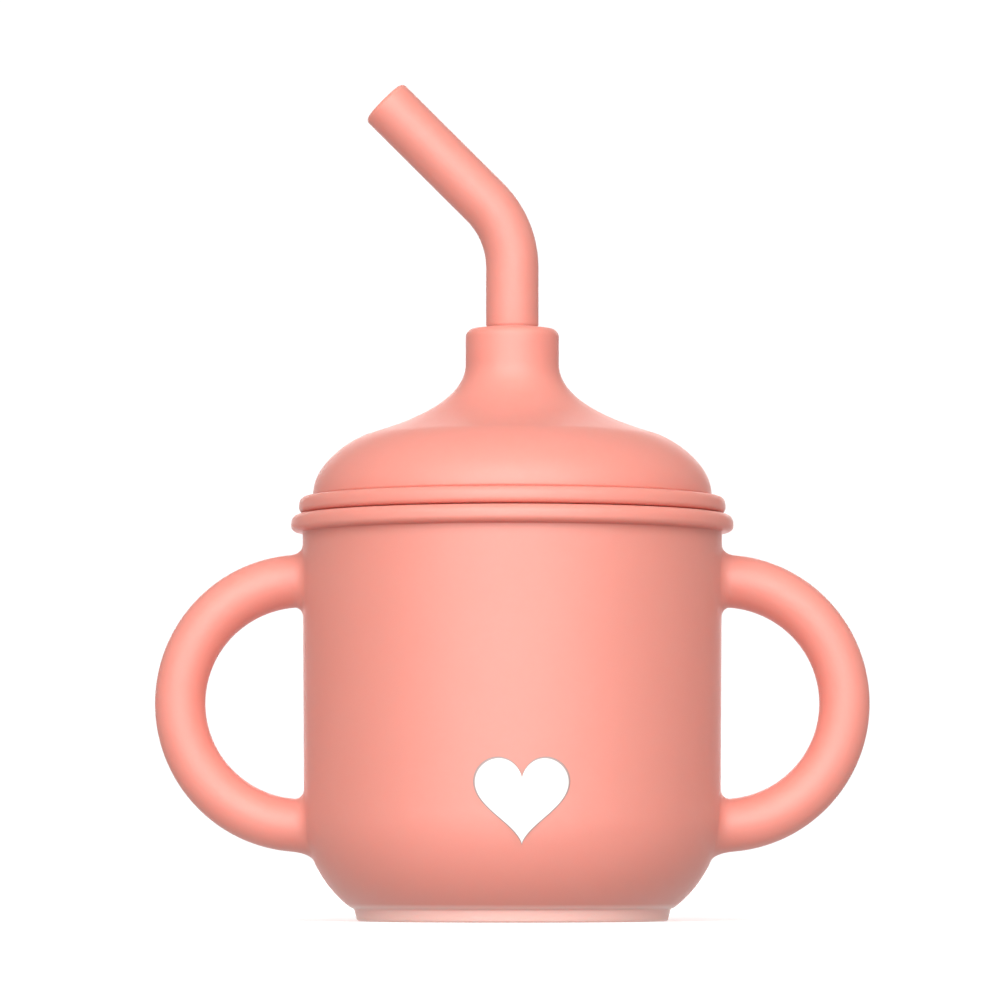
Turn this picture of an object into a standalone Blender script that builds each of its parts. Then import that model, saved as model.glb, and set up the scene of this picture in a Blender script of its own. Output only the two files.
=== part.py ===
"""Silicone learner cup with two loop handles, a press-in domed lid and a bent straw.

The object is three separate mouldings: the cup with its handles, the lid and the straw.
Metres, +Z up. The origin is the centre of the foot, on the surface that the cup stands on,
and the handles lie along X. Each outline is a list of (radius, height) pairs that runs down
the outer side of the turned piece.
"""

import math

import bmesh
import bpy
from mathutils import Vector
from mathutils.geometry import interpolate_bezier

MM = 0.001
GAP = 0.3 * MM  # clearance between neighbouring pieces

# Cup
BODY_R = 37.45 * MM  # just under the rim bead
BODY_DRAFT = 0.35 * MM  # how much narrower the body is where its base rounds off
WALL = 2.75 * MM  # just under the rim bead
BASE_ARC = 20.8 * MM  # radius of the rounded lower edge
BASE_ARC_Z = 19.0 * MM  # height where that rounding starts
BASE_ARC_R = BODY_R - BODY_DRAFT - BASE_ARC  # where its centre lies
BASE_END_R = 28.8 * MM  # where it ends, over the foot ring
FOOT_R = 28.2 * MM
FOOT_TOP_Z = 2.2 * MM
FOOT_DRAFT = 0.4 * MM
FOOT_RING = 4.5 * MM  # width of the ring that the cup stands on
FOOT_EDGE = 0.5 * MM
RECESS_Z = 1.2 * MM  # underside of the floor inside the foot ring
FLOOR_Z = 5.0 * MM
INNER_CORNER = 17.0 * MM
RIM_Z = 72.4 * MM
RIM_BEAD = 1.9 * MM  # how far the bead reaches out and up from its centre
RIM_UNDER = 1.25 * MM  # height of its lower half
RIM_BEAD_R = 37.6 * MM  # where the bead's centre lies
BEAD_POWER = 2.6  # how square a bead's section is, 2 being round
BEAD_FILLET = 0.3 * MM
BODY_TOP_Z = RIM_Z - RIM_BEAD - RIM_UNDER - BEAD_FILLET
MOUTH_EDGE = 0.8 * MM

# Handles
HANDLE_LOOP = 21.8 * MM  # radius of the centreline, a half circle
HANDLE_TUBE = 4.5 * MM  # radius at the middle of the loop
HANDLE_SWELL = 0.22 * MM  # how much thicker it is where it meets the body
HANDLE_Z = 38.8 * MM
HANDLE_FILLET = 1.8 * MM
HANDLE_SINK = 0.1 * MM  # how far the fillet's foot is drawn into the body
HANDLE_ROOT = 1.4 * MM  # how far the handle reaches into the wall
FILLET_TURNS = (25, 50, 75)  # degrees round the fillet where its rings lie

# Lid
LID_BEAD = 1.5 * MM  # how far the bead reaches out, and half its height
LID_BEAD_UNDER = 1.15 * MM  # height of its lower half
LID_BEAD_R = 36.6 * MM
LID_CREASE = 0.45 * MM  # how far the dome draws in over the bead
LID_CREASE_H = 0.5 * MM
DOME_BASE_R = 35.6 * MM
DOME_KNOT = (25.75 * MM, 86.8 * MM)
DOME_SLOPE = math.radians(17)
DOME_TOP_Z = 99.5 * MM
DOME_PULLS = (5.2 * MM, 3.6 * MM, 6.9 * MM, 6.9 * MM)  # handle lengths, base to neck
NECK_R = 8.35 * MM
NECK_Z = 106.0 * MM
NECK_EDGE = 1.6 * MM
NECK_DIP = 0.2 * MM  # how far the top face falls from the straw to its edge
NECK_LIP = 0.5 * MM  # size of the bevel round the straw
INNER_KNOT = (24.9 * MM, 84.4 * MM)
INNER_PULLS = (5.0 * MM, 3.2 * MM, 7.5 * MM, 5.0 * MM)
BORE_BASE_Z = 93.5 * MM
SKIRT_R = 34.0 * MM
SKIRT_WALL = 2.2 * MM
SKIRT_Z = 63.8 * MM
RIB = 0.4 * MM  # how far a seal rib stands out of the skirt
RIB_HALF = 0.9 * MM
RIB_HEIGHTS = (70.0 * MM, 66.8 * MM)

# Straw
STRAW_R = 4.7 * MM
STRAW_WALL = 1.9 * MM
STRAW_FOOT_Z = 8.0 * MM
STRAW_CORNER_Z = 123.7 * MM  # where the two straight legs' axes meet
STRAW_BEND = 16.7 * MM  # radius of the bend's centreline
STRAW_ANGLE = math.radians(45)
STRAW_TIP = 32.5 * MM  # from the corner to the end of the upper leg
STRAW_EDGE = 0.6 * MM

# Facets
TURN_STEPS = 56
HANDLE_STEPS = 26
STRAW_RINGS_IN_BEND = 9
TUBE_RESOLUTION = 6  # a curve's bevel_resolution: 16 sides

CORAL = (0.86, 0.42, 0.36, 1.0)
SILICONE_ROUGHNESS = 0.55


def clear_scene():
    for obj in list(bpy.data.objects):
        bpy.data.objects.remove(obj, do_unlink=True)


def new_collection(name):
    collection = bpy.data.collections.new(name)
    bpy.context.scene.collection.children.link(collection)
    return collection


def silicone(name):
    material = bpy.data.materials.new(name)
    material.use_nodes = True
    shader = material.node_tree.nodes["Principled BSDF"]
    shader.inputs["Base Color"].default_value = CORAL
    shader.inputs["Roughness"].default_value = SILICONE_ROUGHNESS
    shader.inputs["Metallic"].default_value = 0.0
    return material


def arc(centre, radius, start, end, steps):
    """Points of a circular arc, angles in degrees, both ends included."""
    turns = [math.radians(start + (end - start) * i / steps) for i in range(steps + 1)]
    return [(centre[0] + radius * math.cos(a), centre[1] + radius * math.sin(a)) for a in turns]


def bead(centre, out, up, down, start, end, steps):
    """Points round a bead's outer side from start to end, 90 degrees being its top.

    Its section is a little squarer than an ellipse, and up and down are its heights from
    the centre.
    """
    points = []
    for i in range(steps + 1):
        turn = math.radians(start + (end - start) * i / steps)
        across, high = math.cos(turn), math.sin(turn)
        r = out * math.copysign(abs(across) ** (2 / BEAD_POWER), across)
        z = (up if high > 0 else down) * math.copysign(abs(high) ** (2 / BEAD_POWER), high)
        points.append((centre[0] + r, centre[1] + z))
    return points


def cup_outline():
    inner_r = BODY_R - WALL
    points = [(0, FLOOR_Z)]
    points += arc((inner_r - INNER_CORNER, FLOOR_Z + INNER_CORNER), INNER_CORNER, -90, 0, 8)
    points += arc((inner_r + MOUTH_EDGE, RIM_Z - MOUTH_EDGE), MOUTH_EDGE, 180, 90, 3)
    middle = (RIM_BEAD_R, RIM_Z - RIM_BEAD)
    points += bead(middle, RIM_BEAD, RIM_BEAD, RIM_UNDER, 90, 0, 5)
    points += bead(middle, RIM_BEAD, RIM_BEAD, RIM_UNDER, 0, -84, 5)[1:]
    points += [(BODY_R, BODY_TOP_Z)]
    end_turn = -math.degrees(math.acos((BASE_END_R - BASE_ARC_R) / BASE_ARC))
    points += arc((BASE_ARC_R, BASE_ARC_Z), BASE_ARC, 0, end_turn, 9)
    points += [(FOOT_R, FOOT_TOP_Z)]
    outer = FOOT_R - FOOT_DRAFT
    inner = outer - FOOT_RING
    points += arc((outer - FOOT_EDGE, FOOT_EDGE), FOOT_EDGE, 0, -90, 2)
    points += [(inner + FOOT_EDGE, 0), (inner, FOOT_EDGE), (inner - FOOT_EDGE, RECESS_Z)]
    return points + [(0, RECESS_Z)]


def two_beziers(base, knot, top, pulls, steps):
    """A smooth line from base up to top through a knot, upright at both ends."""
    along = Vector((-math.cos(DOME_SLOPE), math.sin(DOME_SLOPE)))
    up = Vector((0, 1))
    base, knot, top = Vector(base), Vector(knot), Vector(top)
    lower = interpolate_bezier(base, base + up * pulls[0], knot - along * pulls[1], knot, steps)
    upper = interpolate_bezier(knot, knot + along * pulls[2], top - up * pulls[3], top, steps)
    return [(point[0], point[1]) for point in lower + upper[1:]]


def lid_outline():
    bore_r = STRAW_R + GAP
    edge_z = NECK_Z - NECK_DIP - NECK_EDGE
    points = [(bore_r, NECK_Z - NECK_LIP), (bore_r + NECK_LIP, NECK_Z)]
    points += arc((NECK_R - NECK_EDGE, edge_z), NECK_EDGE, 90, 0, 4)
    flange_z = RIM_Z + GAP
    crease = (DOME_BASE_R - LID_CREASE, flange_z + 2 * LID_BEAD)
    dome_base = (DOME_BASE_R, crease[1] + LID_CREASE_H)
    points += two_beziers(dome_base, DOME_KNOT, (NECK_R, DOME_TOP_Z), DOME_PULLS, 9)[::-1]
    points += arc((crease[0], dome_base[1]), LID_CREASE, -30, -90, 2)
    middle = (LID_BEAD_R, flange_z + LID_BEAD_UNDER)
    over = 2 * LID_BEAD - LID_BEAD_UNDER
    points += bead(middle, LID_BEAD, over, LID_BEAD_UNDER, 115, 0, 5)
    points += bead(middle, LID_BEAD, over, LID_BEAD_UNDER, 0, -90, 4)[1:]
    points += [(SKIRT_R, flange_z)]
    for height in RIB_HEIGHTS:
        points += [(SKIRT_R, height + RIB_HALF), (SKIRT_R + RIB, height)]
        points += [(SKIRT_R, height - RIB_HALF)]
    half = SKIRT_WALL / 2
    points += arc((SKIRT_R - half, SKIRT_Z + half), half, 0, -180, 4)
    inner_base = (SKIRT_R - SKIRT_WALL, crease[1])
    points += two_beziers(inner_base, INNER_KNOT, (bore_r, BORE_BASE_Z), INNER_PULLS, 7)
    return points


def turned(name, outline, closed, collection):
    """An outline turned about Z. A closed one is a ring that keeps clear of the axis."""
    mesh = bpy.data.meshes.new(name)
    count = len(outline)
    edges = [(i, (i + 1) % count) for i in range(count if closed else count - 1)]
    mesh.from_pydata([(r, 0, z) for r, z in outline], edges, [])
    piece = bpy.data.objects.new(name, mesh)
    collection.objects.link(piece)
    screw = piece.modifiers.new("turn", "SCREW")
    screw.steps = TURN_STEPS
    screw.render_steps = TURN_STEPS
    screw.use_merge_vertices = True
    screw.merge_threshold = 0.00001
    screw.use_smooth_shade = True
    return piece


def tube_mesh(name, line, radius):
    """A mesh tube with open ends in the XZ plane, made by a bevelled curve.

    line is a list of (x, z, thickness), the thickness as a share of radius.
    """
    curve = bpy.data.curves.new(name, "CURVE")
    curve.dimensions = "3D"
    curve.bevel_depth = radius
    curve.bevel_resolution = TUBE_RESOLUTION
    spline = curve.splines.new("POLY")
    spline.points.add(len(line) - 1)
    for point, (x, z, thickness) in zip(spline.points, line):
        point.co = (x, 0, z, 1)
        point.radius = thickness
    guide = bpy.data.objects.new(name, curve)
    bpy.context.scene.collection.objects.link(guide)
    graph = bpy.context.evaluated_depsgraph_get()
    mesh = bpy.data.meshes.new_from_object(guide.evaluated_get(graph))
    bpy.data.objects.remove(guide)
    bpy.data.curves.remove(curve)
    return mesh


def body_r(height):
    """Radius of the cup's outside between its foot and its rim bead."""
    if height < BASE_ARC_Z:
        return BASE_ARC_R + math.sqrt(BASE_ARC**2 - (BASE_ARC_Z - height) ** 2)
    return BODY_R - BODY_DRAFT * (BODY_TOP_Z - height) / (BODY_TOP_Z - BASE_ARC_Z)


def place_root_ring(verts, side, reach, spread):
    """Moves a ring of a handle's end to reach from the body's surface and spread from its axis."""
    centre = sum((vert.co for vert in verts), Vector()) / len(verts)
    axis_z = HANDLE_Z + side * math.sqrt(HANDLE_LOOP**2 - max(reach, 0) ** 2)
    for vert in verts:
        out = Vector((vert.co.y - centre.y, vert.co.z - centre.z)).normalized() * spread
        y = out.x
        z = axis_z + out.y
        vert.co = (math.sqrt(body_r(z) ** 2 - y * y) + reach, y, z)


def handle_mesh():
    """The handle on the +X side, its ends flared into fillets that sink into the cup's wall."""
    free = math.degrees(math.asin(HANDLE_FILLET / HANDLE_LOOP))
    line = []
    for x, z in arc((BODY_R, HANDLE_Z), HANDLE_LOOP, 90 - free, free - 90, HANDLE_STEPS):
        swell = HANDLE_SWELL * ((z - HANDLE_Z) / HANDLE_LOOP) ** 2
        line.append((x, z, 1 + swell / HANDLE_TUBE))
    mesh = tube_mesh("handle", line, HANDLE_TUBE)
    work = bmesh.new()
    work.from_mesh(mesh)
    rings = []
    for turn in map(math.radians, FILLET_TURNS):
        reach = HANDLE_FILLET * (1 - math.sin(turn)) - HANDLE_SINK
        flare = HANDLE_FILLET * (1 - math.cos(turn))
        rings.append((reach, HANDLE_TUBE + HANDLE_SWELL + flare))
    rings.append((-HANDLE_ROOT, rings[-1][1]))
    for side in (1, -1):
        edges = [e for e in work.edges if e.is_boundary and side * (e.verts[0].co.z - HANDLE_Z) > 0]
        for reach, spread in rings:
            made = bmesh.ops.extrude_edge_only(work, edges=edges)["geom"]
            edges = [item for item in made if isinstance(item, bmesh.types.BMEdge)]
            verts = [item for item in made if isinstance(item, bmesh.types.BMVert)]
            place_root_ring(verts, side, reach, spread)
        bmesh.ops.contextual_create(work, geom=edges)
    bmesh.ops.recalc_face_normals(work, faces=work.faces)
    work.to_mesh(mesh)
    work.free()
    return mesh


def add_handles(cup, helpers):
    """Both handles, moulded in one with the cup."""
    pair = bpy.data.objects.new("handle_pair", handle_mesh())
    helpers.objects.link(pair)
    pair.hide_render = True
    pair.display_type = "WIRE"
    mirror = pair.modifiers.new("other_side", "MIRROR")
    mirror.use_axis = (True, False, False)
    mirror.merge_threshold = 0.00001
    union = cup.modifiers.new("handles", "BOOLEAN")
    union.operation = "UNION"
    union.object = pair


def straw_line():
    """The straw's centreline: an upright leg, the bend and the upper leg, which leans to -X."""
    tangent = STRAW_BEND * math.tan(STRAW_ANGLE / 2)
    bend_z = STRAW_CORNER_Z - tangent
    bend = arc((-STRAW_BEND, bend_z), STRAW_BEND, 0, 45, STRAW_RINGS_IN_BEND)
    lean = Vector((-math.sin(STRAW_ANGLE), math.cos(STRAW_ANGLE)))
    tip = Vector((0, STRAW_CORNER_Z)) + lean * STRAW_TIP
    return [(x, z, 1) for x, z in [(0, STRAW_FOOT_Z)] + bend + [tuple(tip)]]


def make_straw(collection):
    straw = bpy.data.objects.new("straw", tube_mesh("straw", straw_line(), STRAW_R))
    collection.objects.link(straw)
    wall = straw.modifiers.new("wall", "SOLIDIFY")
    wall.thickness = STRAW_WALL
    wall.offset = -1
    wall.use_even_offset = True
    ends = straw.modifiers.new("ends", "BEVEL")
    ends.width = STRAW_EDGE
    ends.segments = 2
    ends.limit_method = "ANGLE"
    ends.angle_limit = math.radians(60)
    return straw


def finish_piece(piece, material):
    piece.data.materials.clear()
    piece.data.materials.append(material)
    piece.data.shade_smooth()
    piece.data.set_sharp_from_angle(angle=math.radians(50))


def main():
    clear_scene()
    parts = new_collection("sippy_cup")
    helpers = new_collection("helpers")
    cup = turned("cup", cup_outline(), False, parts)
    add_handles(cup, helpers)
    lid = turned("lid", lid_outline(), True, parts)
    straw = make_straw(parts)
    for piece in (cup, lid, straw):
        finish_piece(piece, silicone(piece.name + "_silicone"))
    lid.parent = cup
    straw.parent = lid


main()
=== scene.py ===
"""Looks of the silicone learner cup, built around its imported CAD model.

The cup, the lid and the straw are each remade as one fine skin of the CAD piece's own size,
with the soft radii that moulded silicone has. Metres, +Z up, the printed front faces -Y.
"""

import math

import bmesh
import bpy
from mathutils import Euler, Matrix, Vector
from mathutils.geometry import interpolate_bezier


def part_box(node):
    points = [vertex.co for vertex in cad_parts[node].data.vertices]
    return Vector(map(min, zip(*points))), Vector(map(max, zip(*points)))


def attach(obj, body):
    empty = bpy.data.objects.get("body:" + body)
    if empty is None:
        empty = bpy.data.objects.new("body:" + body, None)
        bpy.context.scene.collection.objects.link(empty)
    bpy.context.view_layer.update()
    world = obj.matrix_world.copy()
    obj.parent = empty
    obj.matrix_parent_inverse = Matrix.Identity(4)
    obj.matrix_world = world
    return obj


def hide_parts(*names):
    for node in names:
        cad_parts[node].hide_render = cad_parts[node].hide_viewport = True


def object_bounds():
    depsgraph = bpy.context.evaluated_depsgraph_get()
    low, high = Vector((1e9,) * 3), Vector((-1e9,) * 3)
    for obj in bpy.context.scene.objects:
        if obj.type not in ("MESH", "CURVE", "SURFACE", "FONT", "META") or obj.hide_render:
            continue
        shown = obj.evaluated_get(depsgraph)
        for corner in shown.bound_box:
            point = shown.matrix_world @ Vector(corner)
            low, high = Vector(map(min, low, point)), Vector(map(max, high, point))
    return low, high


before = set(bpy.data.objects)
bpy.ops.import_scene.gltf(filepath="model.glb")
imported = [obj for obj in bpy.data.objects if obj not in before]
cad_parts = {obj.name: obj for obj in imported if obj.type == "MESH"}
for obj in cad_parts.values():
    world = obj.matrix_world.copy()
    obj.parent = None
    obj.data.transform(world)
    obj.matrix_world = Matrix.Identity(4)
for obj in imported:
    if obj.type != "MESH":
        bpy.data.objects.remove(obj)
cad_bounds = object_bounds()

MM = 0.001
cup_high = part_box("cup")[1]
lid_low, lid_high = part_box("lid")
straw_low, straw_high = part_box("straw")

# Cup
BODY_R = 37.45 * MM  # just under the rim bead
BODY_DRAFT = 0.35 * MM  # how much narrower the body is where its base rounds off
WALL = 2.75 * MM
BASE_ARC = 20.8 * MM  # radius of the rounded lower edge
BASE_ARC_Z = 19.0 * MM
BASE_END_R = 28.8 * MM  # where that rounding ends, over the foot ring
FOOT_R = 28.2 * MM
FOOT_TOP_Z = 2.2 * MM
FOOT_DRAFT = 0.4 * MM
FOOT_RING = 4.5 * MM
FOOT_EDGE = 0.5 * MM
FOOT_CREASE = 0.3 * MM  # how far the body's own rows stay from the crease over the foot
RECESS_Z = 1.2 * MM
GATE_R = 2.2 * MM  # the moulding's gate mark under the floor
GATE_H = 0.25 * MM
FLOOR_Z = 5.0 * MM
INNER_CORNER = 17.0 * MM
RIM_Z = cup_high.z
RIM_BEAD = 1.9 * MM  # how far the bead reaches out and up from its centre
RIM_UNDER = 1.25 * MM  # height of the bead's lower half
RIM_BEAD_R = cup_high.y - RIM_BEAD
BEAD_FILLET = 0.3 * MM
BEAD_POWER = 2.6  # how square a bead's section is, 2 being round
MOUTH_EDGE = 0.8 * MM

# Handles
HANDLE_TUBE = 4.5 * MM  # radius at the middle of the loop
HANDLE_SWELL = 0.22 * MM  # how much thicker it is where it meets the body
HANDLE_LOOP = cup_high.x - BODY_R - HANDLE_TUBE
HANDLE_Z = 38.8 * MM
HANDLE_FILLET = 1.9 * MM
HANDLE_RINGS = 96  # rings of the skin along a handle
FILLET_RINGS = 9
SPREAD_RINGS = 4  # rings of the skin between a fillet's foot and the body's own rows

# Lid
SEAT_GAP = 0.18 * MM  # what shows as a dark line between lid and cup
LID_BEAD = 1.5 * MM  # how far the bead reaches out, and half its height
LID_BEAD_R = 36.6 * MM
LID_BEAD_UNDER = 1.15 * MM  # height of the bead's lower half
LID_CREASE = 0.45 * MM  # how far the dome draws in over the bead
LID_CREASE_H = 0.5 * MM
DOME_BASE_R = 35.6 * MM
DOME_KNOT = (25.75 * MM, 86.8 * MM)
DOME_SLOPE = math.radians(17)
DOME_TOP_Z = 99.5 * MM
DOME_PULLS = (5.2 * MM, 3.6 * MM, 6.9 * MM, 6.9 * MM)  # handle lengths, base to neck
NECK_R = 8.35 * MM
NECK_Z = lid_high.z
NECK_EDGE = 1.6 * MM
NECK_DIP = 0.2 * MM  # how far the top face falls from the straw to its edge
NECK_LIP = 0.35 * MM  # radius of the neck's edge round the straw
STRAW_GAP = 0.08 * MM
INNER_KNOT = (24.9 * MM, 84.4 * MM)
INNER_PULLS = (5.0 * MM, 3.2 * MM, 7.5 * MM, 5.0 * MM)
BORE_BASE_Z = 93.5 * MM
SKIRT_R = 34.0 * MM
SKIRT_WALL = 2.2 * MM
SKIRT_Z = lid_low.z
RIB = 0.4 * MM  # how far a seal rib stands out of the skirt
RIB_HALF = 0.9 * MM
RIB_HEIGHTS = (70.0 * MM, 66.8 * MM)

# Straw
STRAW_R = straw_high.y
STRAW_WALL = 1.9 * MM
STRAW_FOOT_Z = straw_low.z
STRAW_CORNER_Z = 123.7 * MM  # where the two straight legs' axes meet
STRAW_BEND = 16.7 * MM  # radius of the bend's centreline
STRAW_ANGLE = math.radians(45)
STRAW_TIP = 32.5 * MM  # from the corner to the end of the upper leg
WAIST = 0.16 * MM  # how far the neck's grip draws the straw in
WAIST_RUN = 0.6 * MM  # height over the neck where the straw is full again
STRAW_OUTER_EDGE = 0.9 * MM
STRAW_INNER_EDGE = 0.5 * MM
UPRIGHT_RINGS = (28, 4, 6, 3)  # below the neck's edge, in it, along the waist, up to the bend
BEND_RINGS = 24
TIP_RINGS = 8

# Printed motif, a plain heart
PRINT_AT = (1.6 * MM, 21.0 * MM)  # sideways from the middle of the front, and height
PRINT_WIDTH = 17.0 * MM
PRINT_FILM = 0.05 * MM
PRINT_POINTS = 160  # round its outline
PRINT_RINGS = 11  # from its middle to near its edge
PRINT_LINE = 0.97  # where the thin outline starts, as a share of the motif
PRINT_EDGE = 1.003  # where the film's rounded edge meets the body

SIDES = 192  # facets round a turned piece
TUBE_SIDES = 64  # facets round a handle or the straw
PATCH = TUBE_SIDES // 8  # body facets from a handle root's middle to its patch's edge
ROW = 1.0 * MM  # spacing of the body's rows
CORNER_PULL = 0.6  # how far a rounded corner's handles reach to the sharp one


# ---------------------------------------------------------------- skins


class Skin:
    """The points and faces of one closed surface, put together ring by ring."""

    def __init__(self):
        self.points = []
        self.faces = []

    def ring(self, points):
        start = len(self.points)
        self.points += [tuple(point) for point in points]
        return list(range(start, len(self.points)))

    def bridge(self, first, second, skipped=()):
        """Quads between two rings of equal length, except at the skipped columns."""
        count = len(first)
        for i in range(count):
            if i not in skipped:
                j = (i + 1) % count
                self.faces.append((first[i], first[j], second[j], second[i]))

    def bridge_all(self, rings):
        for first, second in zip(rings, rings[1:]):
            self.bridge(first, second)

    def fan(self, ring, centre):
        (middle,) = self.ring([centre])
        for i, corner in enumerate(ring):
            self.faces.append((corner, ring[(i + 1) % len(ring)], middle))

    def piece(self, name):
        """The skin as an object, its faces turned outward and its unused points dropped."""
        mesh = bpy.data.meshes.new(name)
        mesh.from_pydata(self.points, [], self.faces)
        work = bmesh.new()
        work.from_mesh(mesh)
        unused = [vert for vert in work.verts if not vert.link_faces]
        bmesh.ops.delete(work, geom=unused, context="VERTS")
        bmesh.ops.recalc_face_normals(work, faces=work.faces)
        work.to_mesh(mesh)
        work.free()
        mesh.shade_smooth()
        made = bpy.data.objects.new(name, mesh)
        bpy.context.scene.collection.objects.link(made)
        return made


def arc(centre, radius, start, end, steps):
    """Points of a circular arc, angles in degrees, both ends included."""
    turns = [math.radians(start + (end - start) * i / steps) for i in range(steps + 1)]
    return [(centre[0] + radius * math.cos(a), centre[1] + radius * math.sin(a)) for a in turns]


def soft_corner(before, corner, after, cut, steps=5):
    """A corner of an outline rounded off, from cut before it to cut after it."""
    before, corner, after = Vector(before), Vector(corner), Vector(after)
    start = corner + (before - corner).normalized() * cut
    end = corner + (after - corner).normalized() * cut
    pulled = start.lerp(corner, CORNER_PULL), end.lerp(corner, CORNER_PULL)
    return [(point[0], point[1]) for point in interpolate_bezier(start, *pulled, end, steps + 1)]


def bead(centre, out, up, down, start, end, steps):
    """Points round a bead's outer side from start to end, 90 degrees being its top.

    Its section is a little squarer than an ellipse, and up and down are its heights from
    the centre.
    """
    points = []
    for i in range(steps + 1):
        turn = math.radians(start + (end - start) * i / steps)
        across, high = math.cos(turn), math.sin(turn)
        r = out * math.copysign(abs(across) ** (2 / BEAD_POWER), across)
        z = (up if high > 0 else down) * math.copysign(abs(high) ** (2 / BEAD_POWER), high)
        points.append((centre[0] + r, centre[1] + z))
    return points


def turned_ring(skin, r, z):
    turns = [2 * math.pi * i / SIDES for i in range(SIDES)]
    return skin.ring([(r * math.cos(a), r * math.sin(a), z) for a in turns])


def turned_rings(skin, outline):
    return [turned_ring(skin, r, z) for r, z in outline]


# ---------------------------------------------------------------- cup

BASE_ARC_R = BODY_R - BODY_DRAFT - BASE_ARC
BODY_TOP_Z = RIM_Z - RIM_BEAD - RIM_UNDER - BEAD_FILLET
STRAIGHT_RUN = BODY_TOP_Z - BASE_ARC_Z
END_TURN = math.acos((BASE_END_R - BASE_ARC_R) / BASE_ARC)
ROOT_R = HANDLE_TUBE + HANDLE_SWELL


def body_rz(run):
    """Radius and height on the body's side, run being the way down from the rim's fillet."""
    if run <= STRAIGHT_RUN:
        return BODY_R - BODY_DRAFT * run / STRAIGHT_RUN, BODY_TOP_Z - run
    turn = (run - STRAIGHT_RUN) / BASE_ARC
    return BASE_ARC_R + BASE_ARC * math.cos(turn), BASE_ARC_Z - BASE_ARC * math.sin(turn)


def body_run(z):
    if z >= BASE_ARC_Z:
        return BODY_TOP_Z - z
    return STRAIGHT_RUN + BASE_ARC * math.asin((BASE_ARC_Z - z) / BASE_ARC)


def body_point(turn, run, lift=0.0):
    """A point on the body's side, turn in radians about Z from +X, lifted off the surface."""
    r, z = body_rz(run)
    lean = max(run - STRAIGHT_RUN, 0) / BASE_ARC
    r += lift * math.cos(lean)
    return Vector((r * math.cos(turn), r * math.sin(turn), z - lift * math.sin(lean)))


def inside_and_rim():
    """Outline from the floor's middle up the inside, over the rim bead to the body's side."""
    inner_r = BODY_R - WALL
    corner = (inner_r - INNER_CORNER, FLOOR_Z + INNER_CORNER)
    points = [(r * MM, FLOOR_Z) for r in (4, 8, 12, 15)]  # rings on the flat floor
    points += arc(corner, INNER_CORNER, -90, 0, 20)
    points += [(inner_r, z * MM) for z in (28, 36, 44, 52, 60, 66)]  # and on the wall
    points += arc((inner_r + MOUTH_EDGE, RIM_Z - MOUTH_EDGE), MOUTH_EDGE, 180, 90, 8)
    middle = (RIM_BEAD_R, RIM_Z - RIM_BEAD)
    points += bead(middle, RIM_BEAD, RIM_BEAD, RIM_UNDER, 90, -84, 30)
    crease = (BODY_R, BODY_TOP_Z + BEAD_FILLET)
    return points + soft_corner(points[-1], crease, (BODY_R, 0), BEAD_FILLET)[:-1]


def foot_and_underside(last_run):
    """Outline from the body's last row down round the foot ring to the underside."""
    outer = FOOT_R - FOOT_DRAFT
    inner = outer - FOOT_RING
    end = (BASE_END_R, BASE_ARC_Z - BASE_ARC * math.sin(END_TURN))
    corner = (FOOT_R, FOOT_TOP_Z)
    points = soft_corner(body_rz(last_run), end, corner, cut=0.25 * MM)
    points += soft_corner(end, corner, (outer, FOOT_EDGE), cut=0.3 * MM)
    points += arc((outer - FOOT_EDGE, FOOT_EDGE), FOOT_EDGE, 0, -90, 6)
    slope = (inner - FOOT_EDGE, RECESS_Z)
    points += soft_corner((outer, 0), (inner, 0), slope, cut=0.45 * MM)
    points += soft_corner((inner, 0), slope, (0, RECESS_Z), cut=0.4 * MM)
    points += [(r * MM, RECESS_Z) for r in (18, 12, 7)]  # rings on the recess
    gate_foot, gate_top = (GATE_R, RECESS_Z), (GATE_R, RECESS_Z - GATE_H)
    points += soft_corner((2 * GATE_R, RECESS_Z), gate_foot, gate_top, cut=GATE_H / 3)
    points += soft_corner(gate_foot, gate_top, (0, RECESS_Z - GATE_H), cut=GATE_H / 3)
    return points + [(GATE_R / 2, RECESS_Z - GATE_H)]


class Root:
    """Where one end of a handle grows out of the body's side."""

    def __init__(self, facing, side):
        self.facing = facing  # +1 on the +X side, -1 on the -X side
        self.side = side  # +1 for the upper end, -1 for the lower end
        self.run = body_run(HANDLE_Z + side * HANDLE_LOOP)
        self.row = round(self.run / ROW) if side < 0 else PATCH  # the patch's middle row
        self.column = 0 if facing > 0 else SIDES // 2

    def place(self, across, up, lift=0.0):
        """A point of the body's skin, given in the plane that it unrolls to."""
        turn = across / BODY_R + (0 if self.facing > 0 else math.pi)
        return body_point(turn, self.run - self.side * up, lift)

    def border(self):
        """(column, row) of the body's points round the patch, in the handle ring's order."""
        steps = [(PATCH, i) for i in range(PATCH)]
        steps += [(PATCH - i, PATCH) for i in range(2 * PATCH)]
        steps += [(-PATCH, PATCH - i) for i in range(2 * PATCH)]
        steps += [(i - PATCH, -PATCH) for i in range(2 * PATCH)]
        steps += [(PATCH, i - PATCH) for i in range(PATCH)]
        return [((self.column + c) % SIDES, self.row - self.side * r) for c, r in steps]

    def covers(self, row):
        return self.row - PATCH <= row < self.row + PATCH

    def columns(self):
        return {(self.column + i) % SIDES for i in range(-PATCH, PATCH)}


def ring_turns():
    """The angles of a tube ring's points, in radians."""
    return [2 * math.pi * k / TUBE_SIDES for k in range(TUBE_SIDES)]


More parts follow.
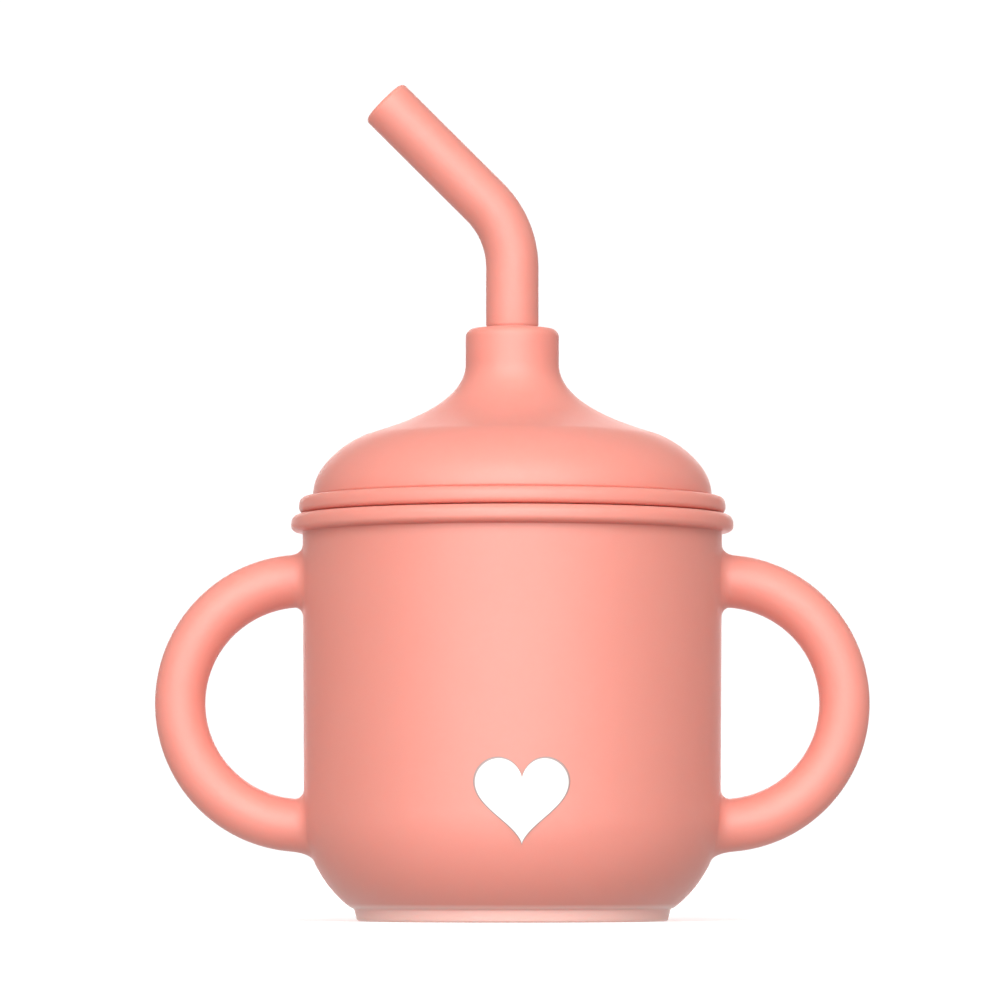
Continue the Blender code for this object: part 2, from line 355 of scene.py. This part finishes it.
def handle_ring(facing, turn):
    """A ring of the handle's tube where its centreline has turned up by turn from level."""
    out = Vector((facing * math.cos(turn), 0, math.sin(turn)))
    middle = Vector((facing * BODY_R, 0, HANDLE_Z)) + out * HANDLE_LOOP
    across = Vector((0, facing, 0))
    radius = HANDLE_TUBE + HANDLE_SWELL * math.sin(turn) ** 2
    return [middle + (across * math.cos(a) + out * math.sin(a)) * radius for a in ring_turns()]


def fillet_curves(root, tube_ring, inward):
    """For each point of a handle's last ring, a curve that lands flush on the body's skin."""
    curves = []
    foot = ROOT_R + HANDLE_FILLET
    past_foot = foot + 0.1 * MM
    for a, start in zip(ring_turns(), tube_ring):
        across, up = math.cos(a), math.sin(a)
        end = root.place(across * foot, up * foot)
        beyond = root.place(across * past_foot, up * past_foot)
        along = (beyond - end).normalized()
        under = body_rz(body_run(start.z))[0]
        corner = Vector((root.facing * math.sqrt(under**2 - start.y**2), start.y, start.z))
        pull_in = CORNER_PULL * (corner - start).length
        pull_out = CORNER_PULL * (corner - end).length
        curves.append(
            interpolate_bezier(
                start, start + inward * pull_in, end - along * pull_out, end, FILLET_RINGS + 1
            )
        )
    return curves


def grow_root(skin, root, tube_ring, tube_ids, inward, rows):
    """Joins a handle's last ring to the hole left for it among the body's rows."""
    curves = fillet_curves(root, tube_ring, inward)
    rings = [tube_ids]
    rings += [skin.ring([curve[j] for curve in curves]) for j in range(1, FILLET_RINGS + 1)]
    foot = ROOT_R + HANDLE_FILLET
    border = root.border()
    for j in range(1, SPREAD_RINGS):
        share = j / SPREAD_RINGS
        points = []
        for a, (column, row) in zip(ring_turns(), border):
            step = (column - root.column + SIDES // 2) % SIDES - SIDES // 2
            edge = (step * 2 * math.pi / SIDES * BODY_R, root.side * (root.run - row * ROW))
            spot = Vector((math.cos(a), math.sin(a))) * foot
            spot = spot.lerp(Vector(edge), share)
            points.append(root.place(*spot))
        rings.append(skin.ring(points))
    rings.append([rows[row][column] for column, row in border])
    skin.bridge_all(rings)


def make_cup():
    skin = Skin()
    inner = turned_rings(skin, inside_and_rim())
    skin.fan(inner[0], (0, 0, FLOOR_Z))
    last_run = STRAIGHT_RUN + BASE_ARC * END_TURN - FOOT_CREASE
    body = [turned_ring(skin, *body_rz(i * ROW)) for i in range(int(last_run / ROW) + 1)]
    under = turned_rings(skin, foot_and_underside(last_run))
    skin.fan(under[-1], (0, 0, RECESS_Z - GATE_H))
    roots = [Root(facing, side) for facing in (1, -1) for side in (1, -1)]
    skin.bridge_all(inner + body[:1])
    for row in range(len(body) - 1):
        holes = [root.columns() for root in roots if root.covers(row)]
        skin.bridge(body[row], body[row + 1], set().union(*holes))
    skin.bridge_all(body[-1:] + under)
    for facing in (1, -1):
        free = math.asin(HANDLE_FILLET / HANDLE_LOOP)
        top = math.pi / 2 - free
        turns = [top - 2 * top * i / HANDLE_RINGS for i in range(HANDLE_RINGS + 1)]
        rings = [handle_ring(facing, turn) for turn in turns]
        ids = [skin.ring(ring) for ring in rings]
        skin.bridge_all(ids)
        for root in roots:
            if root.facing == facing:
                end = 0 if root.side > 0 else -1
                inward = Vector((-facing * math.cos(free), 0, root.side * math.sin(free)))
                grow_root(skin, root, rings[end], ids[end], inward, body)
    return skin.piece("cup_skin")


# ---------------------------------------------------------------- lid


def two_beziers(base, knot, top, pulls, steps):
    """A smooth line from base up to top through a knot, upright at both ends."""
    along = Vector((-math.cos(DOME_SLOPE), math.sin(DOME_SLOPE)))
    up = Vector((0, 1))
    base, knot, top = Vector(base), Vector(knot), Vector(top)
    lower = interpolate_bezier(base, base + up * pulls[0], knot - along * pulls[1], knot, steps)
    upper = interpolate_bezier(knot, knot + along * pulls[2], top - up * pulls[3], top, steps)
    return [(point[0], point[1]) for point in lower + upper[1:]]


def lid_outline():
    bore_r = STRAW_R + STRAW_GAP
    edge_z = NECK_Z - NECK_DIP - NECK_EDGE
    flange_z = RIM_Z + SEAT_GAP
    points = arc((bore_r + NECK_LIP, NECK_Z - NECK_LIP), NECK_LIP, 180, 90, 6)
    points += arc((NECK_R - NECK_EDGE, edge_z), NECK_EDGE, 90, 0, 14)
    crease = (DOME_BASE_R - LID_CREASE, flange_z + 2 * LID_BEAD)
    dome_base = (DOME_BASE_R, crease[1] + LID_CREASE_H)
    points += two_beziers(dome_base, DOME_KNOT, (NECK_R, DOME_TOP_Z), DOME_PULLS, 34)[::-1]
    middle = (LID_BEAD_R, flange_z + LID_BEAD_UNDER)
    points += arc((crease[0], dome_base[1]), LID_CREASE, -10, -80, 7)
    points += bead(middle, LID_BEAD, 2 * LID_BEAD - LID_BEAD_UNDER, LID_BEAD_UNDER, 115, -90, 34)
    points += soft_corner((LID_BEAD_R, flange_z), (SKIRT_R, flange_z), (SKIRT_R, 0), cut=RIB)
    for height in RIB_HEIGHTS:
        crest = (SKIRT_R + RIB, height)
        above, below = (SKIRT_R, height + RIB_HALF), (SKIRT_R, height - RIB_HALF)
        points += soft_corner((SKIRT_R, RIM_Z), above, crest, cut=0.25 * MM, steps=3)
        points += soft_corner(above, crest, below, cut=0.3 * MM)
        points += soft_corner(crest, below, (SKIRT_R, 0), cut=0.25 * MM, steps=3)
    half = SKIRT_WALL / 2
    points += arc((SKIRT_R - half, SKIRT_Z + half), half, 0, -180, 16)
    inner_base = (SKIRT_R - SKIRT_WALL, crease[1])
    bore_base = (bore_r, BORE_BASE_Z)
    return points + two_beziers(inner_base, INNER_KNOT, bore_base, INNER_PULLS, 24)


def make_lid():
    skin = Skin()
    rings = turned_rings(skin, lid_outline())
    skin.bridge_all(rings + rings[:1])
    return skin.piece("lid_skin")


# ---------------------------------------------------------------- straw


def waist(z):
    """How far the straw is drawn in at a height, most of all in the neck's mouth."""
    away = (z - NECK_Z) / WAIST_RUN if z > NECK_Z else (NECK_Z - z) / NECK_EDGE
    return WAIST * (0.5 + 0.5 * math.cos(math.pi * min(away, 1)))


def straw_line():
    """(point, lean) along the straw's centreline, from its foot to its tip."""
    tangent = STRAW_BEND * math.tan(STRAW_ANGLE / 2)
    bend_z = STRAW_CORNER_Z - tangent
    stops = (STRAW_FOOT_Z, NECK_Z - NECK_EDGE, NECK_Z, NECK_Z + WAIST_RUN, bend_z)
    line = []
    for low, high, count in zip(stops, stops[1:], UPRIGHT_RINGS):
        line += [(Vector((0, 0, low + (high - low) * i / count)), 0.0) for i in range(count)]
    for i in range(BEND_RINGS + 1):
        lean = STRAW_ANGLE * i / BEND_RINGS
        x = STRAW_BEND * (math.cos(lean) - 1)
        line.append((Vector((x, 0, bend_z + STRAW_BEND * math.sin(lean))), lean))
    along = Vector((-math.sin(STRAW_ANGLE), 0, math.cos(STRAW_ANGLE)))
    step = along * (STRAW_TIP - tangent) / TIP_RINGS
    line += [(line[-1][0] + step * i, STRAW_ANGLE) for i in range(1, TIP_RINGS + 1)]
    return line


def straw_rings():
    """(point, lean, radius) of each ring: up the outside, over the tip, down the bore."""
    line = straw_line()
    bore = STRAW_R - STRAW_WALL

    def end_rings(point, lean, outward):
        """The rounded end, from the outer side to the bore."""
        along = Vector((-math.sin(lean), 0, math.cos(lean))) * outward
        outer, inner = STRAW_OUTER_EDGE, STRAW_INNER_EDGE
        edge = arc((STRAW_R - outer, -outer), outer, 0, 90, 8)
        edge += arc((bore + inner, -inner), inner, 90, 180, 6)
        return [(point + along * deep, lean, radius) for radius, deep in edge]

    low, high = line[0], line[-1]
    tip = end_rings(*high, 1)
    foot = end_rings(*low, -1)
    outside = [(point, lean, STRAW_R - waist(point.z)) for point, lean in line[1:-1]]
    inside = [(point, lean, bore) for point, lean in line[-2:0:-1]]
    return outside + tip + inside + foot[::-1]


def make_straw():
    skin = Skin()
    rings = []
    for middle, lean, radius in straw_rings():
        side = Vector((math.cos(lean), 0, math.sin(lean)))
        points = [
            middle + (side * math.cos(a) + Vector((0, math.sin(a), 0))) * radius
            for a in ring_turns()
        ]
        rings.append(skin.ring(points))
    skin.bridge_all(rings + rings[:1])
    return skin.piece("straw_skin")


# ---------------------------------------------------------------- printed motif


HEART_WIDTH = 32


def heart(turn):
    """A point of a heart's outline, HEART_WIDTH across."""
    across = 16 * math.sin(turn) ** 3
    up = 13 * math.cos(turn) - 5 * math.cos(2 * turn) - 2 * math.cos(3 * turn)
    return Vector((across, up - math.cos(4 * turn) + 2.5))


def make_print():
    """A thin film that follows the body's front, with a rounded edge all round."""
    skin = Skin()
    turns = [2 * math.pi * i / PRINT_POINTS for i in range(PRINT_POINTS)]
    outline = [heart(turn) * PRINT_WIDTH / HEART_WIDTH for turn in turns]
    front = -math.pi / 2
    run = body_run(PRINT_AT[1])

    def layer(share, lift):
        spots = [point * share for point in outline]
        return skin.ring(
            [body_point(front + (PRINT_AT[0] + s.x) / BODY_R, run - s.y, lift) for s in spots]
        )

    shares = [i / (PRINT_RINGS + 1) for i in range(1, PRINT_RINGS + 1)]
    near_edge = [PRINT_LINE - 0.008, PRINT_LINE, 0.99]
    top = [layer(share, PRINT_FILM) for share in shares + near_edge]
    top += [layer(1.0, 0.6 * PRINT_FILM), layer(PRINT_EDGE, 0)]
    bottom = [layer(share, -PRINT_FILM) for share in [PRINT_EDGE] + shares[::-1]]
    middle = front + PRINT_AT[0] / BODY_R
    skin.fan(top[0], body_point(middle, run, PRINT_FILM))
    skin.fan(bottom[-1], body_point(middle, run, -PRINT_FILM))
    skin.bridge_all(top + bottom)
    print_piece = skin.piece("printed_heart")
    mark_outline(print_piece.data, len(shares) + 1, len(top))
    return print_piece


def mark_outline(mesh, first, last):
    """Marks the print's rings from first to before last as its thin outline."""
    marks = mesh.attributes.new("outline", "FLOAT", "POINT")
    for i in range(first * PRINT_POINTS, last * PRINT_POINTS):
        marks.data[i].value = 1.0


# ---------------------------------------------------------------- materials


def add_node(tree, kind, inputs=None, **settings):
    made = tree.nodes.new(kind)
    for name, value in settings.items():
        setattr(made, name, value)
    for name, value in (inputs or {}).items():
        if isinstance(value, bpy.types.NodeSocket):
            tree.links.new(value, made.inputs[name])
        else:
            made.inputs[name].default_value = value
    return made


def noise(tree, place, scale, detail=2.0):
    inputs = {"Vector": place, "Scale": scale, "Detail": detail}
    return add_node(tree, "ShaderNodeTexNoise", inputs).outputs["Fac"]


def spread(tree, value, low, high, start=0.0, end=1.0, **settings):
    """A value's range from start to end, made into one from low to high."""
    inputs = {"Value": value, "From Min": start, "From Max": end, "To Min": low, "To Max": high}
    return add_node(tree, "ShaderNodeMapRange", inputs, **settings).outputs["Result"]


def blend(tree, share, first, second):
    """Two colours mixed, share being how much of the second there is."""
    inputs = {"Factor": share, "A": first, "B": second}
    return add_node(tree, "ShaderNodeMix", inputs, data_type="RGBA").outputs["Result"]


def worked_out(tree, operation, *values):
    """What a Math node makes of its values."""
    inputs = dict(enumerate(values))
    return add_node(tree, "ShaderNodeMath", inputs, operation=operation).outputs[0]


def bump(tree, height, distance, under=None):
    inputs = {"Height": height, "Distance": distance, "Strength": 1.0}
    if under:
        inputs["Normal"] = under
    return add_node(tree, "ShaderNodeBump", inputs).outputs["Normal"]


def new_material(name):
    """A material with its node tree and its Principled shader."""
    material = bpy.data.materials.new(name)
    material.use_nodes = True
    return material, material.node_tree, material.node_tree.nodes["Principled BSDF"]


# Silicone. The noises' scales are in cycles per metre.
CORAL = (0.78, 0.275, 0.22, 1.0)
CORAL_DEEP = (0.75, 0.262, 0.208, 1.0)
# painted light: a paler coral painted on the foot ring as the glow of light coming through it
CORAL_PAINTED_GLOW = (0.93, 0.60, 0.54, 1.0)
CLOUD_SCALE = 55
ROUGH_SCALE = 420
ROUGHNESS = (0.50, 0.58)
WAVE_SCALE = 120
WAVE = 0.02 * MM  # height of the surface's slow waves
GRAIN_SCALE = 3800
GRAIN = 0.004 * MM
SEAM = 0.03 * MM  # height of a mould's parting line
SEAM_HALF = 0.10 * MM  # half its width
PAINTED_GLOW_SHARE = 0.65  # how much of the paler painted glow the foot ring takes
PAINTED_GLOW_Z = FOOT_TOP_Z + 0.35 * MM
PAINTED_GLOW_FADE = 0.6 * MM
SILICONE = {
    "IOR": 1.45,
    "Specular IOR Level": 1.0,
    "Subsurface Weight": 0.5,
    "Subsurface Radius": (1.0, 0.4, 0.3),
    "Subsurface Scale": 5.0 * MM,
    "Sheen Weight": 0.04,
    "Sheen Roughness": 0.45,
}


def silicone(name, seam_axis, seam_at, painted_glow_below=None):
    """Matte soft-touch silicone with a fine grain, and a faint parting line of its mould.

    Below the given height its colour is painted paler: a painted glow that stands in for the light
    coming through the thin foot ring.
    """
    material, tree, shader = new_material(name)
    place = add_node(tree, "ShaderNodeTexCoord").outputs["Object"]
    parts = add_node(tree, "ShaderNodeSeparateXYZ", {"Vector": place}).outputs

    tone = blend(tree, noise(tree, place, CLOUD_SCALE, 3), CORAL, CORAL_DEEP)
    if painted_glow_below:
        # painted light: below the given height the tone is mixed toward the painted glow
        share = spread(tree, parts["Z"], PAINTED_GLOW_SHARE, 0.0, painted_glow_below, painted_glow_below + PAINTED_GLOW_FADE)
        tone = blend(tree, share, tone, CORAL_PAINTED_GLOW)
    tree.links.new(tone, shader.inputs["Base Color"])
    rough = spread(tree, noise(tree, place, ROUGH_SCALE, 4), *ROUGHNESS)
    tree.links.new(rough, shader.inputs["Roughness"])

    away = worked_out(tree, "ABSOLUTE", worked_out(tree, "SUBTRACT", parts[seam_axis], seam_at))
    seam = spread(tree, away, 1.0, 0.0, 0.0, 2 * SEAM_HALF, interpolation_type="SMOOTHSTEP")
    waves = bump(tree, noise(tree, place, WAVE_SCALE, 1), WAVE)
    ridge = bump(tree, seam, SEAM, waves)
    grain = bump(tree, noise(tree, place, GRAIN_SCALE, 2), GRAIN, ridge)
    tree.links.new(grain, shader.inputs["Normal"])

    for socket, value in SILICONE.items():
        shader.inputs[socket].default_value = value
    return material


# Ink
INK = (0.88, 0.875, 0.865, 1.0)
INK_SHADE = (0.80, 0.785, 0.77, 1.0)
INK_LINE = (0.40, 0.30, 0.28, 1.0)
INK_CLOUD_SCALE = 600
INK_ROUGHNESS = (0.45, 0.55)
INK_GRAIN_SCALE = 2500
INK_GRAIN = 0.006 * MM


def print_ink():
    """White silicone ink with a thin grey outline and the faint unevenness of a film."""
    material, tree, shader = new_material("print_ink")
    place = add_node(tree, "ShaderNodeTexCoord").outputs["Object"]
    cloud = noise(tree, place, INK_CLOUD_SCALE, 3)
    line = add_node(tree, "ShaderNodeAttribute", attribute_name="outline").outputs["Fac"]
    tone = blend(tree, line, blend(tree, cloud, INK, INK_SHADE), INK_LINE)
    tree.links.new(tone, shader.inputs["Base Color"])
    tree.links.new(spread(tree, cloud, *INK_ROUGHNESS), shader.inputs["Roughness"])
    grain = bump(tree, noise(tree, place, INK_GRAIN_SCALE, 2), INK_GRAIN)
    tree.links.new(grain, shader.inputs["Normal"])
    return material


# ---------------------------------------------------------------- stage

WHITE = (1.0, 1.0, 1.0, 1.0)
SEEN_STRENGTH = 1.05  # of the world's white behind the object
FILL_STRENGTH = 0.30
FILL_LEAN = (0, 0.20, -0.16)  # how much stronger the fill is toward +X, +Y and +Z
FLOOR_HALF = 6.0
FLOOR_DROP = 0.05 * MM
FLOOR_TONE = (0.9, 0.9, 0.9, 1.0)
FLOOR_ROUGHNESS = 0.9
FLOOR_GLOW = 0.45


def make_world():
    """White to the camera, and a softer light on the object, more from behind and below."""
    world = bpy.data.worlds.new("studio")
    world.use_nodes = True
    tree = world.node_tree
    tree.nodes.clear()
    seen = add_node(tree, "ShaderNodeBackground", {"Color": WHITE, "Strength": SEEN_STRENGTH})
    toward = add_node(tree, "ShaderNodeTexCoord").outputs["Generated"]
    inputs = {0: toward, 1: FILL_LEAN}
    lean = add_node(tree, "ShaderNodeVectorMath", inputs, operation="DOT_PRODUCT")
    strength = worked_out(tree, "ADD", lean.outputs["Value"], FILL_STRENGTH)
    fill = add_node(tree, "ShaderNodeBackground", {"Color": WHITE, "Strength": strength})
    path = add_node(tree, "ShaderNodeLightPath")
    mix = add_node(tree, "ShaderNodeMixShader", {0: path.outputs["Is Camera Ray"]})
    tree.links.new(fill.outputs[0], mix.inputs[1])
    tree.links.new(seen.outputs[0], mix.inputs[2])
    out = add_node(tree, "ShaderNodeOutputWorld")
    tree.links.new(mix.outputs[0], out.inputs["Surface"])
    bpy.context.scene.world = world


def make_floor():
    """A plain pale floor that glows faintly.

    It takes soft shadows, throws no light up under the cup, and lets through what comes from
    below.
    """
    mesh = bpy.data.meshes.new("floor")
    corners = [(x * FLOOR_HALF, y * FLOOR_HALF, 0) for x, y in ((-1, -1), (1, -1), (1, 1), (-1, 1))]
    mesh.from_pydata(corners, [], [(0, 1, 2, 3)])
    floor = bpy.data.objects.new("floor", mesh)
    bpy.context.scene.collection.objects.link(floor)
    floor.location.z = cad_bounds[0].z - FLOOR_DROP
    floor.visible_diffuse = False
    floor.visible_glossy = False
    floor.visible_shadow = False
    material, _, shader = new_material("floor_white")
    shader.inputs["Base Color"].default_value = FLOOR_TONE
    shader.inputs["Roughness"].default_value = FLOOR_ROUGHNESS
    shader.inputs["Specular IOR Level"].default_value = 0.0
    shader.inputs["Emission Color"].default_value = WHITE
    shader.inputs["Emission Strength"].default_value = FLOOR_GLOW
    mesh.materials.append(material)


def soft_light(name, azimuth, elevation, strength, spread_angle):
    """A broad even light from far off. Azimuth 0 is the front, 90 the right-hand side."""
    light = bpy.data.lights.new(name, "SUN")
    light.energy = strength
    light.angle = math.radians(spread_angle)
    lamp = bpy.data.objects.new(name, light)
    bpy.context.scene.collection.objects.link(lamp)
    lamp.rotation_euler = Euler(
        (math.radians(90 - elevation), 0, math.radians(azimuth)), "XYZ"
    )


def make_lights():
    soft_light("key_left", azimuth=-19, elevation=21, strength=2.3, spread_angle=60)
    soft_light("key_right", azimuth=15, elevation=21, strength=2.2, spread_angle=60)
    soft_light("top", azimuth=0, elevation=65, strength=0.5, spread_angle=70)
    soft_light("back", azimuth=180, elevation=8, strength=1.6, spread_angle=40)
    soft_light("low_back", azimuth=180, elevation=-35, strength=0.7, spread_angle=70)


LENS = 232.0
CAMERA_DISTANCE = 1.15
CAMERA_Z = 11.1 * MM
AIM_X = -2.2 * MM
AIM_Z = 75.1 * MM


def make_camera():
    data = bpy.data.cameras.new("camera")
    data.lens = LENS
    data.sensor_width = 36.0
    data.clip_start = 0.05
    data.clip_end = 20.0
    camera = bpy.data.objects.new("camera", data)
    bpy.context.scene.collection.objects.link(camera)
    camera.location = (AIM_X, -CAMERA_DISTANCE, CAMERA_Z)
    aim = Vector((AIM_X, 0, AIM_Z)) - camera.location
    camera.rotation_euler = aim.to_track_quat("-Z", "Y").to_euler()
    bpy.context.scene.camera = camera


# ---------------------------------------------------------------- the object


def dress(piece, node, body, material):
    piece.data.materials.append(material)
    if node:
        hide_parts(node)
    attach(piece, body)


make_camera()
make_world()
make_floor()
make_lights()
bpy.context.scene.view_settings.view_transform = "Standard"

# the cup's foot ring gets a painted glow, a paler tone standing in for light coming through it
cup_look = silicone("cup_silicone", "Y", 0.0, PAINTED_GLOW_Z)
dress(make_cup(), "cup", "cup", cup_look)
lid_seam_z = RIM_Z + 2 * SEAT_GAP
dress(make_lid(), "lid", "lid", silicone("lid_silicone", "Z", lid_seam_z))
dress(make_straw(), "straw", "straw", silicone("straw_silicone", "Y", 0.0))
dress(make_print(), None, "cup", print_ink())
